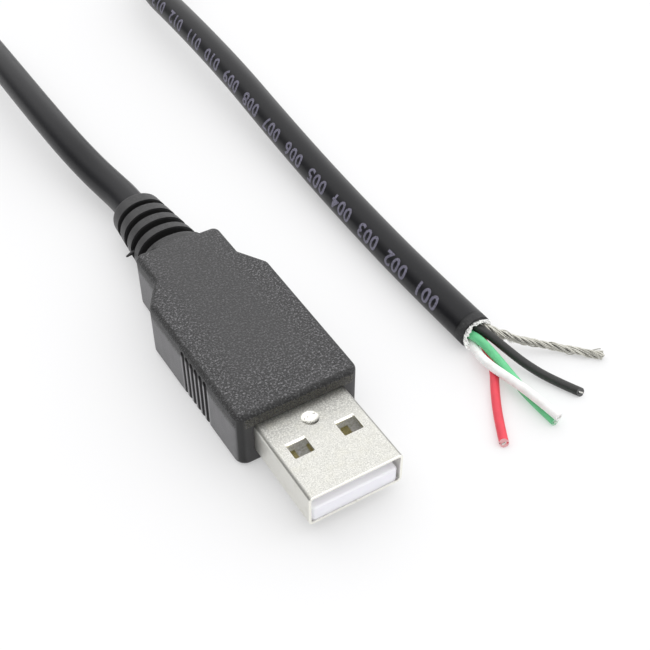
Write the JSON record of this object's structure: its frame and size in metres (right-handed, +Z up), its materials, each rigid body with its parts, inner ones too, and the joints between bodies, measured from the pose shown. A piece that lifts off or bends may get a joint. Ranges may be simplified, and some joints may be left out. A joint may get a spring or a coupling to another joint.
{
  "type": "usb pigtail cable",
  "caption": "Short round cable with a moulded type A plug and strain relief at one end, and jacket, shield and coloured wires stripped open at the other.",
  "frame": {"origin": "middle of the plug's base, on the surface that the plug and the cable lie on, measured on the plug without the free cable", "axes": "+Y along the plug from its mouth to the strain relief, +X to the right seen from the mouth, +Z up through the shell's top face"},
  "size_m": [0.0586, 0.1795, 0.0083],
  "materials": {
    "black_moulding": "spark-textured soft PVC",
    "nickel_plate": "satin nickel plate",
    "white_plastic": "moulded, slightly glossy",
    "gold_plate": "flash gold plate",
    "solder": "bright solder",
    "shield_steel": "tin-plated sheet",
    "tinned_braid": "tinned braid",
    "foil": "polyester-backed foil",
    "clear_moulding": "polyethylene",
    "black_jacket": "satin PVC",
    "red_pvc": "satin PVC",
    "white_pvc": "satin PVC",
    "green_pvc": "satin PVC",
    "black_pvc": "satin PVC",
    "tinned_copper": "tinned strands"
  },
  "bodies": {
    "root": {"overmould": "black_moulding", "plug_shell": "nickel_plate", "contact_carrier": "white_plastic", "contact_vbus": "gold_plate", "contact_data_minus": "gold_plate", "contact_data_plus": "gold_plate", "contact_ground": "gold_plate", "solder_joints": "solder", "red_wire_in_plug": "red_pvc", "white_wire_in_plug": "white_pvc", "green_wire_in_plug": "green_pvc", "black_wire_in_plug": "black_pvc", "drain_wire_in_plug": "tinned_copper", "rear_shield_upper": "shield_steel", "rear_shield_lower": "shield_steel", "folded_braid": "tinned_braid", "inner_mould": "clear_moulding", "cable_in_plug": "black_jacket", "cable_jacket": "black_jacket", "braid_shield": "tinned_braid", "foil_wrap": "foil", "red_insulation": "red_pvc", "white_insulation": "white_pvc", "green_insulation": "green_pvc", "black_insulation": "black_pvc", "red_core": "tinned_copper", "white_core": "tinned_copper", "green_core": "tinned_copper", "black_core": "tinned_copper", "drain_wire": "tinned_copper"}
  },
  "joints": []
}
